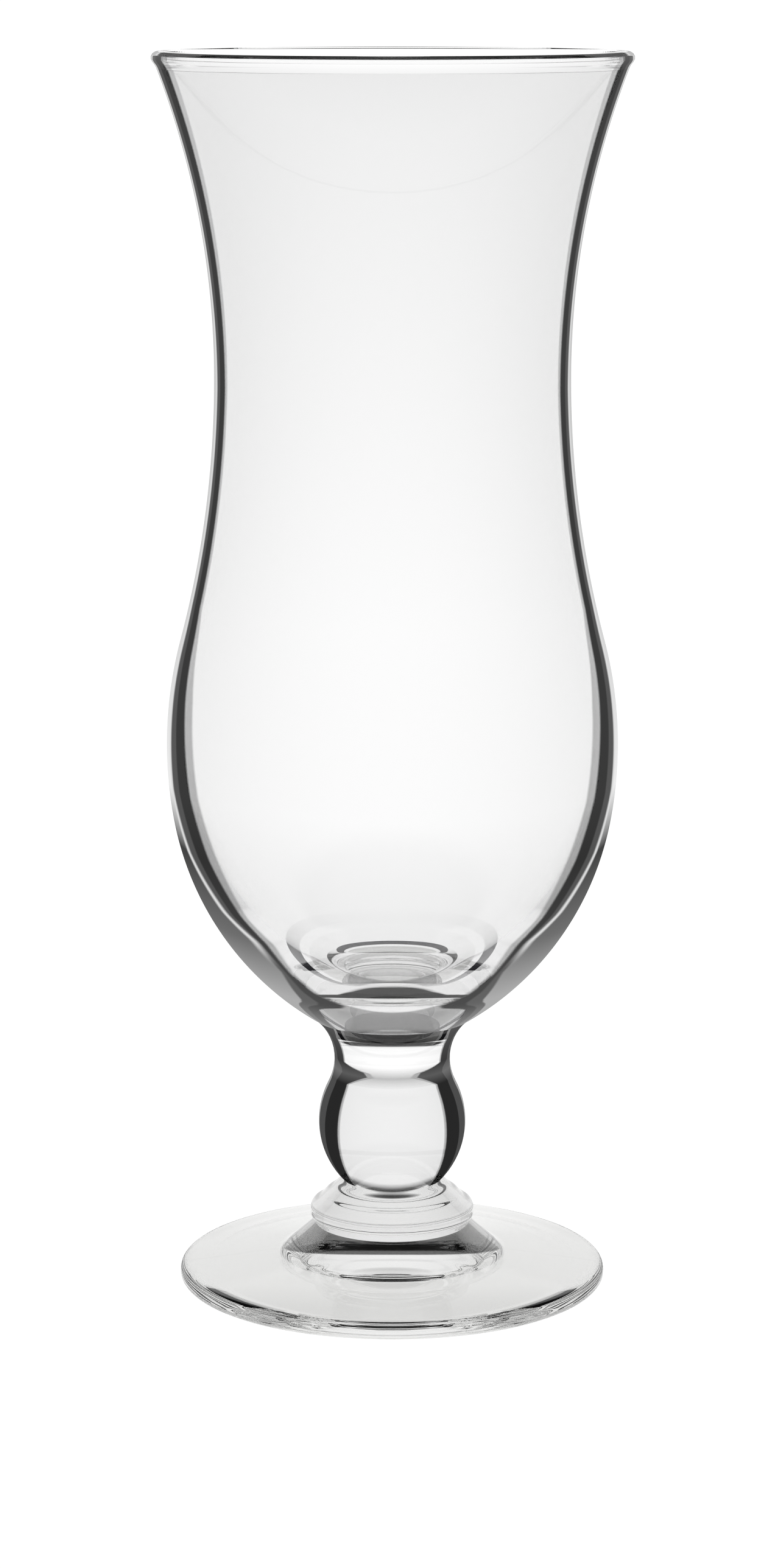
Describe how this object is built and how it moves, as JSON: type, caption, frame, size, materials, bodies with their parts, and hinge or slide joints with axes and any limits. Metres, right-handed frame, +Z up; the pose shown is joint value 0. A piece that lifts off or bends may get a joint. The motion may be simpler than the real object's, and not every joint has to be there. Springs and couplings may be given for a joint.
{
  "type": "hurricane glass",
  "caption": "Tall footed drinking glass: flared, waisted and bellied clear bowl on a short stem with a ball knop, a collar and a disc foot.",
  "frame": {"origin": "on the glass's axis, on the surface that it stands on", "axes": "+Z up along the axis of revolution, from the foot to the rim; X and Y are alike"},
  "size_m": [0.0778, 0.0778, 0.205],
  "materials": {
    "bowl_glass": "clear, fire-polished",
    "stem_glass": "clear, solid, fire-polished",
    "foot_glass": "clear, pressed, polished"
  },
  "bodies": {
    "root": {"bowl": "bowl_glass", "stem": "stem_glass", "collar": "stem_glass", "foot": "foot_glass"}
  },
  "joints": []
}
